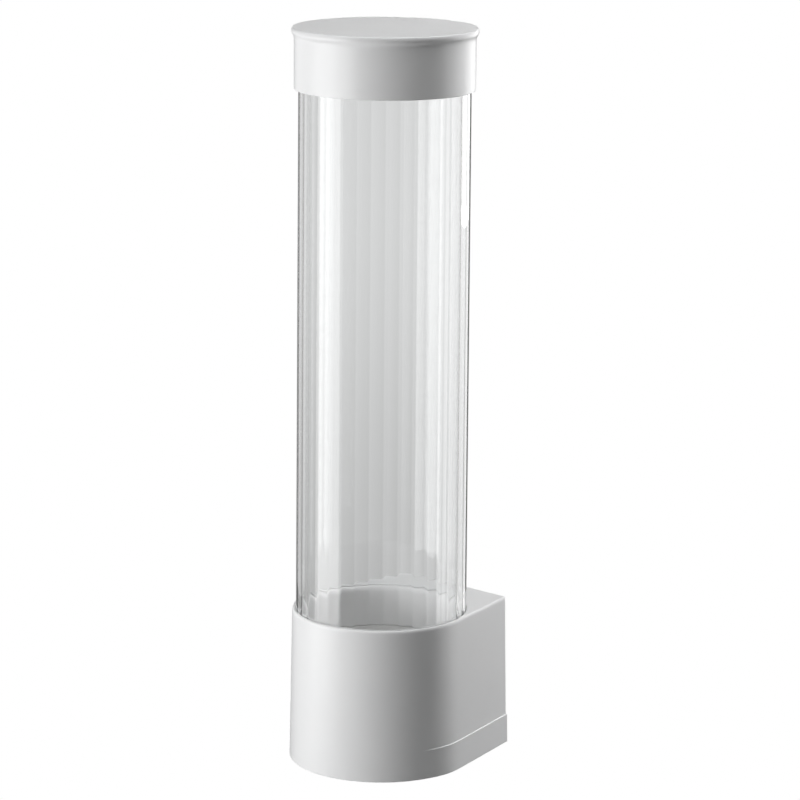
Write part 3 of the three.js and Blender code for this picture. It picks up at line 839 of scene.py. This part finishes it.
def build_guide(material):
    """Sleeve under the socket: flanged and whole above, four curved legs with windows between them below.

    Its inner and its outer face narrow evenly downwards.
    """
    top = guide_high[2]
    window_top = FLOOR_Z + WINDOW_HEIGHT
    flange_foot = top - GUIDE_FLANGE

    def inner(height):
        return MOUTH_RADIUS - GUIDE_NARROWING * (top - height) / (top - FLOOR_Z)

    def outer(height):
        return MOUTH_RADIUS + GUIDE_WALL - GUIDE_NARROWING * (flange_foot - height) / (flange_foot - FLOOR_Z)

    sleeve = [
        (inner(window_top), window_top, GUIDE_JOIN_EDGE),
        (outer(window_top), window_top, GUIDE_JOIN_EDGE),
        (outer(flange_foot), flange_foot, GUIDE_FILLET),
        (guide_high[0], flange_foot, GUIDE_EDGE),
        (guide_high[0], top, GUIDE_EDGE),
        (MOUTH_RADIUS, top, GUIDE_MOUTH_EDGE),
    ]
    leg = [
        (inner(FLOOR_Z), FLOOR_Z, GUIDE_EDGE),
        (outer(FLOOR_Z), FLOOR_Z, GUIDE_EDGE),
        (outer(window_top), window_top, GUIDE_JOIN_EDGE),
        (inner(window_top), window_top, GUIDE_JOIN_EDGE),
    ]
    sleeve, leg = rounded(sleeve, steps=4), rounded(leg, steps=4)
    half = TURN / LEGS / 2 - WINDOW / 2
    legs = [sector(leg, TURN * i / LEGS, half, LEG_STEPS) for i in range(LEGS)]
    piece("cup_guide_sleeve", "cup_guide", [revolved(sleeve), *legs], material)


def on_side(shape):
    """A shape drawn flat and raised along Z, stood up so that its outline lies in X and Z."""
    points, faces = shape
    return points[:, [0, 2, 1]] * np.array([1, -1, 1]), faces


def finger_foot():
    """Foot of a finger with its riser, drawn from the side and raised across it."""
    round_top = (FOOT_OUTER - RISER_INNER) / 2 - HAIR
    corners = [
        (FOOT_INNER, FLOOR_Z, FOOT_CORNER),
        (FOOT_OUTER, FLOOR_Z, FOOT_CORNER),
        (FOOT_OUTER, RISER_TOP, round_top),
        (RISER_INNER, RISER_TOP, round_top),
        (RISER_INNER, FOOT_TOP, RISER_FILLET),
        (FOOT_INNER, FOOT_TOP, FOOT_TOP_CORNER),
    ]
    return on_side(prism(rounded(corners), -FINGER_HALF, FINGER_HALF, FOOT_EDGE))


def finger_blade():
    """Blade about its root: a tapering tongue with a hollow tip, sloped up, and the bead that it bends at.

    Towards its corners the tip reaches further, by the hollow times the square of the share of its half.
    """
    tip = HINGE_RADIUS - BLADE_LENGTH
    hollow = [(tip - TIP_HOLLOW * (y / TIP_HALF) ** 2, y, 0) for y in TIP_HOLLOW_SPOTS]
    middle = HINGE_RADIUS - BLADE_LENGTH / 2
    corners = [
        (HINGE_RADIUS, -FINGER_HALF, BLADE_ROOT_CORNER),
        (HINGE_RADIUS, FINGER_HALF, BLADE_ROOT_CORNER),
        (middle, FINGER_HALF, BLADE_WAIST_CORNER),
        (tip - TIP_HOLLOW, TIP_HALF, TIP_CORNER),
        *hollow,
        (tip - TIP_HOLLOW, -TIP_HALF, TIP_CORNER),
        (middle, -FINGER_HALF, BLADE_WAIST_CORNER),
    ]
    outline = rounded(corners, steps=5) - np.array([HINGE_RADIUS, 0])
    points, faces = prism(outline, -BLADE_HALF, BLADE_HALF, BLADE_EDGE)
    along, rise = math.cos(BLADE_SLOPE), math.sin(BLADE_SLOPE)
    tilt = np.array([[along, 0, -rise], [0, 1, 0], [rise, 0, along]])
    spots = [(0, -1, 0), (BEAD_RADIUS, -1, BEAD_EDGE), (BEAD_RADIUS, 1, BEAD_EDGE), (0, 1, 0)]
    bead = rounded([(radius, end * FINGER_HALF, edge) for radius, end, edge in spots], closed=False)
    return [(points @ tilt.T, faces), on_side(revolved(bead, BEAD_STEPS))]


def build_finger(number, bearing, plastic, metal):
    """Foot with its riser, springy blade with a bead at its root, and the screw from below."""
    piece(f"finger_foot_{number}_moulding", f"finger_foot_{number}", [spun(finger_foot(), bearing)], plastic)
    blade = [spun(moved(shape, (HINGE_RADIUS, 0, HINGE_Z)), bearing) for shape in finger_blade()]
    piece(f"finger_blade_{number}_moulding", f"finger_blade_{number}", blade, plastic)
    screw = moved(pan_screw(FINGER_SCREW_LENGTH), ((FOOT_OUTER + FOOT_INNER) / 2, 0, 0))
    piece(f"finger_screw_{number}_steel", f"finger_screw_{number}", [spun(screw, bearing)], metal)


def pan_screw(length):
    """Pan-head screw that points up: domed face with a cross recess below, threaded shank above.

    Rows run from the middle of the face out to its rim, under the head and up the shank. The recess sinks
    points whose smaller offset from the two arms is under half their width, and whose larger offset is
    within their reach. The thread is a saw-tooth of the height less the bearing's share of a pitch.
    """
    angles = even_angles(SCREW_STEPS)
    radius = np.linspace(FACE_START, HEAD_RADIUS - FACE_EDGE, FACE_STEPS)[:, None]
    x, y = radius * np.cos(angles), radius * np.sin(angles)
    near, far = np.minimum(np.abs(x), np.abs(y)), np.maximum(np.abs(x), np.abs(y))
    inside = np.clip((CROSS_HALF - near) / CROSS_WALL + 0.5, 0, 1)
    inside = np.minimum(inside, np.clip((CROSS_REACH - far) / CROSS_WALL + 0.5, 0, 1))
    dome = HEAD_DOME * (radius / HEAD_RADIUS) ** HEAD_DOME_POWER
    face = np.stack([x, y, HEAD_TOP - HEAD_HEIGHT + dome + CROSS_DEPTH * inside], -1)
    rim = [(HEAD_RADIUS + across, HEAD_TOP + rise) for across, rise in HEAD_RIM]
    rim += [(SHANK_RADIUS + across, HEAD_TOP + rise) for across, rise in NECK]
    height = np.linspace(HEAD_TOP + THREAD_START, HEAD_TOP + length - THREAD_END, THREAD_STEPS)[:, None]
    tooth = np.abs(((height / THREAD_PITCH - angles / TURN) % 1) - 0.5) * 2
    thread = SHANK_RADIUS - THREAD_DEPTH * (1 - tooth) ** THREAD_POWER
    shank = np.stack([thread * np.cos(angles), thread * np.sin(angles), height + 0 * angles], -1)
    end = HEAD_TOP + length
    tip = [(SHANK_RADIUS + SHANK_END[0], end + SHANK_END[1]), (SHANK_POINT, end)]
    rings = [face, turned_rings(np.array(rim), angles), shank, turned_rings(np.array(tip), angles)]
    return capped_shape(np.concatenate(rings))


def build_pad(material):
    """Foam pad with round corners between the wall plate and the wall."""
    left, right, foot, top = pad_low[0], pad_high[0], pad_low[2], pad_high[2]
    corners = [(left, foot), (right, foot), (right, top), (left, top)]
    outline = rounded([(*corner, PAD_CORNER) for corner in corners], steps=PAD_CORNER_STEPS)
    pad = on_side(prism(outline, -pad_high[1], -pad_low[1], PAD_EDGE))
    piece("foam_tape_pad", "foam_pad", [pad], material)


class Value:
    """One output of a shader node, so that the maths on it reads as an expression."""

    def __init__(self, graph, socket):
        self.graph, self.socket = graph, socket

    def other(self, name):
        """Another output of the same node."""
        return Value(self.graph, self.socket.node.outputs[name])

    def maths(self, operation, *others, swapped=False):
        """A Math node on this value and the others, or on them and then this one."""
        values = [*others, self] if swapped else [self, *others]
        return self.graph.node("ShaderNodeMath", {"operation": operation}, dict(enumerate(values)))

    def __add__(self, other):
        return self.maths("ADD", other)

    __radd__ = __add__

    def __rsub__(self, other):
        return self.maths("SUBTRACT", other, swapped=True)

    def __mul__(self, other):
        return self.maths("MULTIPLY", other)

    __rmul__ = __mul__

    def at_least(self, other):
        return self.maths("MAXIMUM", other)

    def smooth(self, low, high):
        """Zero below low, one above high, and an even curve between."""
        settings = {"interpolation_type": "SMOOTHSTEP"}
        inputs = {"Value": self, "From Min": low, "From Max": high}
        return self.graph.node("ShaderNodeMapRange", settings, inputs)


class Graph:
    """The node tree of a material or of the world."""

    def __init__(self, owner):
        owner.use_nodes = True
        self.owner, self.tree = owner, owner.node_tree
        self.tree.nodes.clear()

    def node(self, kind, settings=None, inputs=None, output=0):
        """A node of a kind, with its settings first, then the values or links of its sockets."""
        made = self.tree.nodes.new(kind)
        for name, setting in (settings or {}).items():
            setattr(made, name, setting)
        for name, value in (inputs or {}).items():
            if isinstance(value, Value):
                self.tree.links.new(value.socket, made.inputs[name])
            else:
                made.inputs[name].default_value = value
        return Value(self, made.outputs[output]) if len(made.outputs) else None

    def mix(self, share, low, high):
        """A colour that goes from low to high as the share goes from zero to one."""
        inputs = {"Factor": share, 6: low, 7: high}
        return self.node("ShaderNodeMix", {"data_type": "RGBA"}, inputs, 2)

    def place(self, scale):
        """Object coordinates in metres, times a scale for each axis."""
        coordinates = self.node("ShaderNodeTexCoord", output="Object")
        return self.node("ShaderNodeMapping", None, {"Vector": coordinates, "Scale": scale})

    def noise(self, scale, detail=2, roughness=0.5):
        """Noise from zero to one, with so many lumps to the metre along each axis."""
        inputs = {"Vector": self.place(scale), "Scale": 1, "Detail": detail, "Roughness": roughness}
        return self.node("ShaderNodeTexNoise", None, inputs)

    def bump(self, height, distance, strength):
        inputs = {"Height": height, "Distance": distance, "Strength": strength}
        return self.node("ShaderNodeBump", None, inputs)

    def surface(self, inputs):
        """Ends a material in one shader with these inputs, and gives the material."""
        shader = self.node("ShaderNodeBsdfPrincipled", None, inputs)
        self.node("ShaderNodeOutputMaterial", None, {"Surface": shader})
        return self.owner


def grey(level):
    return (level, level, level, 1)


def even(scale):
    return (scale, scale, scale)


def white_plastic():
    """Satin white moulding: faint clouding of the colour and the gloss, and a very fine orange peel."""
    graph = Graph(bpy.data.materials["white_plastic"])
    cloud = graph.noise(even(35), detail=3)
    peel = graph.noise(even(900), detail=2)
    inputs = {
        "Base Color": graph.mix(cloud, (0.83, 0.835, 0.84, 1), (0.87, 0.872, 0.872, 1)),
        "Roughness": 0.277 + cloud * 0.02,
        "IOR": 1.5,
        "Normal": graph.bump(peel, 0.00004, 0.4),
    }
    return graph.surface(inputs)


def clear_plastic():
    """Clear tube: glassy, with faint draw lines along it. Shadow and soft light pass straight on."""
    material = bpy.data.materials["clear_plastic"]
    graph = Graph(material)
    lines = graph.noise((260, 260, 3), detail=1)
    inputs = {
        "Base Color": (0.985, 0.99, 0.99, 1),
        "Roughness": 0.01 + lines * 0.01,
        "IOR": 1.58,
        "Transmission Weight": 1,
        "Normal": graph.bump(lines, 0.00002, 0.3),
    }
    shader = graph.node("ShaderNodeBsdfPrincipled", None, inputs)
    path = graph.node("ShaderNodeLightPath", output="Is Shadow Ray")
    see_through = path.at_least(path.other("Is Diffuse Ray"))
    clear = graph.node("ShaderNodeBsdfTransparent", None, {"Color": grey(0.92)})
    mixed = graph.node("ShaderNodeMixShader", None, {0: see_through, 1: shader, 2: clear})
    graph.node("ShaderNodeOutputMaterial", None, {"Surface": mixed})
    return material


def natural_plastic():
    """Unpigmented plastic: milky and half matt, with a faint mottle."""
    graph = Graph(bpy.data.materials["natural_plastic"])
    cloud = graph.noise(even(120), detail=3)
    inputs = {
        "Base Color": graph.mix(cloud, (0.8, 0.8, 0.79, 1), (0.86, 0.86, 0.85, 1)),
        "Roughness": 0.36 + cloud * 0.12,
        "IOR": 1.49,
        "Normal": graph.bump(graph.noise(even(1500)), 0.00003, 0.4),
    }
    return graph.surface(inputs)


def screw_steel():
    """Zinc-plated steel: bright, with fine dull specks."""
    graph = Graph(bpy.data.materials["screw_steel"])
    speck = graph.noise(even(2500), detail=3, roughness=0.6)
    inputs = {
        "Base Color": graph.mix(speck, (0.55, 0.56, 0.58, 1), (0.72, 0.73, 0.75, 1)),
        "Metallic": 1,
        "Roughness": 0.2 + speck * 0.2,
        "Normal": graph.bump(speck, 0.00002, 0.5),
    }
    return graph.surface(inputs)


def foam():
    """Closed-cell foam: pale grey, matt and finely pitted."""
    graph = Graph(bpy.data.materials["foam_tape"])
    inputs = {"Vector": graph.place(even(1800)), "Scale": 1}
    cells = graph.node("ShaderNodeTexVoronoi", None, inputs, "Distance")
    inputs = {
        "Base Color": graph.mix(cells, (0.62, 0.62, 0.6, 1), (0.8, 0.8, 0.78, 1)),
        "Roughness": 0.9,
        "Normal": graph.bump(cells, 0.0002, 0.6),
    }
    return graph.surface(inputs)


def make_camera():
    """Camera looking from its bearing and rise at a point beside the tube's axis, with a slight roll."""
    back = TOWARDS_CAMERA * math.cos(CAMERA_RISE) + np.array([0, 0, math.sin(CAMERA_RISE)])
    up = np.cross(back, CAMERA_RIGHT)
    right = CAMERA_RIGHT * math.cos(CAMERA_ROLL) + up * math.sin(CAMERA_ROLL)
    up = up * math.cos(CAMERA_ROLL) - CAMERA_RIGHT * math.sin(CAMERA_ROLL)
    aim = CAMERA_RIGHT * CAMERA_AIM_RIGHT + np.array([0, 0, CAMERA_AIM_HEIGHT])
    camera = bpy.data.objects.new("photo_camera", bpy.data.cameras.new("photo_camera"))
    scene.collection.objects.link(camera)
    camera.data.lens = CAMERA_LENS
    camera.data.sensor_width = SENSOR
    axes = Matrix([[*row] for row in np.stack([right, up, back], 1)]).to_4x4()
    camera.matrix_world = Matrix.Translation(Vector(placed(aim + back * CAMERA_DISTANCE))) @ axes
    scene.camera = camera


def soft_box(name, bearing, distance, height, width, tall, radiance, shown):
    """A flat lamp that faces the object, seen and felt by some kinds of ray alone.

    Its power is its radiance times its area times pi. A card shows in gloss and clear plastic, or in gloss
    alone, and lights nothing.
    """
    lamp = bpy.data.lights.new(name, "AREA")
    lamp.shape = "RECTANGLE"
    lamp.size, lamp.size_y = width, tall
    lamp.energy = radiance * width * tall * math.pi
    made = bpy.data.objects.new(name, lamp)
    scene.collection.objects.link(made)
    angle = math.radians(bearing)
    away = TOWARDS_CAMERA * math.cos(angle) + CAMERA_RIGHT * math.sin(angle)
    middle = Vector((0, ORIGIN[1], LAMP_AIM_HEIGHT))
    made.location = middle + Vector(away) * distance + Vector((0, 0, height))
    made.rotation_euler = (made.location - middle).to_track_quat("Z", "Y").to_euler()
    for ray in ("visible_camera", *MIRRORED_LIGHT):
        setattr(made, ray, ray in shown)


def make_world():
    """White for the camera, greyer through the tube, and dim in gloss and as light.

    In gloss it gains behind the object, and through the tube upwards and to the camera's right.
    """
    world = bpy.data.worlds.new("studio")
    scene.world = world
    graph = Graph(world)
    path = graph.node("ShaderNodeLightPath", output="Is Camera Ray")
    direction = graph.node("ShaderNodeTexCoord", output="Generated")

    def part(axis):
        inputs = {0: direction, 1: tuple(axis)}
        return graph.node("ShaderNodeVectorMath", {"operation": "DOT_PRODUCT"}, inputs, "Value")

    facing, rightward = part(TOWARDS_CAMERA), part(CAMERA_RIGHT)
    height = graph.node("ShaderNodeSeparateXYZ", None, {0: direction}, "Z")
    glossy = WORLD_GLOSS + WORLD_GLOSS_GAIN * (1 - facing.smooth(*WORLD_FACING))
    through = WORLD_THROUGH + WORLD_HEIGHT_GAIN * height.smooth(*WORLD_HEIGHT)
    through += WORLD_RIGHT_GAIN * rightward.smooth(*WORLD_RIGHT)
    sent_through = path.other("Is Transmission Ray")
    mirrored = path.other("Is Glossy Ray")
    reflected = mirrored * glossy + (1 - mirrored) * WORLD_LIGHT
    strength = path + (1 - path) * (sent_through * through + (1 - sent_through) * reflected)
    shader = graph.node("ShaderNodeBackground", None, {"Color": grey(1), "Strength": strength})
    graph.node("ShaderNodeOutputWorld", None, {"Surface": shader})


def make_floor():
    """Pale round floor well below the hung object, kept as stage.

    Seen from above it fades into the white ground towards its rim, and from below it is clear.
    """
    bearings = even_angles(FLOOR_STEPS)
    east, north = np.cos(bearings), np.sin(bearings)
    rim = np.column_stack([FLOOR_RADIUS * east, FLOOR_RADIUS * north, 0 * bearings - FLOOR_DROP])
    mesh = bpy.data.meshes.new("floor")
    mesh.from_pydata(rim.tolist(), [], [list(range(FLOOR_STEPS))])
    material = bpy.data.materials.new("pale floor")
    graph = Graph(material)
    cloud = graph.noise(even(12), detail=4)
    inputs = {"Base Color": graph.mix(cloud, grey(0.84), grey(0.88)), "Roughness": 0.7}
    shader = graph.node("ShaderNodeBsdfPrincipled", None, inputs)
    path = graph.node("ShaderNodeLightPath", output="Is Camera Ray")
    seen = path.at_least(path.other("Is Glossy Ray")).at_least(path.other("Is Transmission Ray"))
    inputs = {0: graph.place(even(1)), 1: (1, 1, 0)}
    flat = graph.node("ShaderNodeVectorMath", {"operation": "MULTIPLY"}, inputs)
    reach = graph.node("ShaderNodeVectorMath", {"operation": "LENGTH"}, {0: flat}, "Value")
    outward_share = reach.smooth(*[share * FLOOR_RADIUS for share in FLOOR_FADE_SHARES])
    share = seen * (FLOOR_GLOW_SHARE + (1 - FLOOR_GLOW_SHARE) * outward_share)
    glow = graph.node("ShaderNodeEmission", None, {"Color": grey(1), "Strength": 1})
    above = graph.node("ShaderNodeMixShader", None, {0: share, 1: shader, 2: glow})
    below = graph.node("ShaderNodeNewGeometry", output="Backfacing")
    clear_below = graph.node("ShaderNodeBsdfTransparent", None, {"Color": grey(1)})
    mixed = graph.node("ShaderNodeMixShader", None, {0: below, 1: above, 2: clear_below})
    graph.node("ShaderNodeOutputMaterial", None, {"Surface": mixed})
    mesh.materials.append(material)
    floor = bpy.data.objects.new("floor", mesh)
    scene.collection.objects.link(floor)


white = white_plastic()
clear = clear_plastic()
natural = natural_plastic()
steel = screw_steel()
tape = foam()

build_lid(white)
build_tube(clear)
build_housing(white)
build_guide(natural)
for i in range(FINGERS):
    build_finger(i + 1, TURN * (i + 0.5) / FINGERS, natural, steel)
for number, side in ((1, -1), (2, 1)):
    screw = moved(pan_screw(COVER_SCREW_LENGTH), (side * BOSS_SIDE, BOSS_BACK, 0))
    piece(f"cover_screw_{number}_steel", f"cover_screw_{number}", [screw], steel)
softened("bottom_cover_plate", "bottom_cover", white)
softened("wall_plate_moulding", "wall_plate", white)
build_pad(tape)

make_camera()
make_world()
make_floor()
for lamp in LAMPS:
    soft_box(*lamp)

scene.view_settings.view_transform = "Standard"
